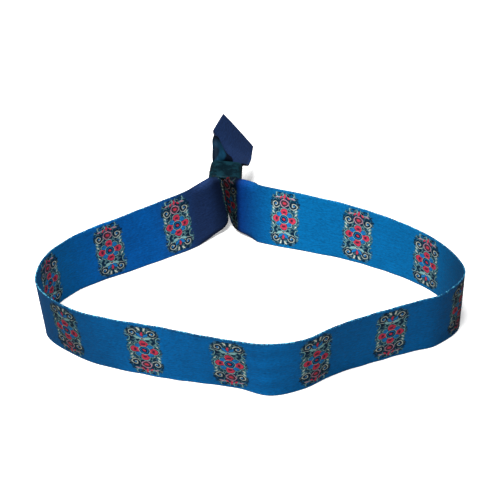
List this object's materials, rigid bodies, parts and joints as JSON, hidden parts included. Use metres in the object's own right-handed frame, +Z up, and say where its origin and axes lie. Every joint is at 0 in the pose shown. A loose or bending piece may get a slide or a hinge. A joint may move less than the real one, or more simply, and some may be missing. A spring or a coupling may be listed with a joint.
{
  "type": "woven wristband",
  "caption": "Woven printed cloth ribbon wristband standing on its edge as a loop, with both ends drawn through a small one-way slide lock.",
  "frame": {"origin": "on the plane that the ribbon's lower edge stands on, under the middle of the whole outline", "axes": "+Z up across the ribbon's width, +X across the loop to the right, +Y from the front of the loop to the slide lock"},
  "size_m": [0.117, 0.1038, 0.026],
  "materials": {
    "printed_ribbon": "satin-woven polyester ribbon, azure blue with a repeated printed cartouche",
    "lock_plastic": "smoky dark moulded plastic, finely mottled, satin"
  },
  "bodies": {
    "root": {"ribbon_band": "printed_ribbon", "slide_lock": "lock_plastic"}
  },
  "joints": []
}
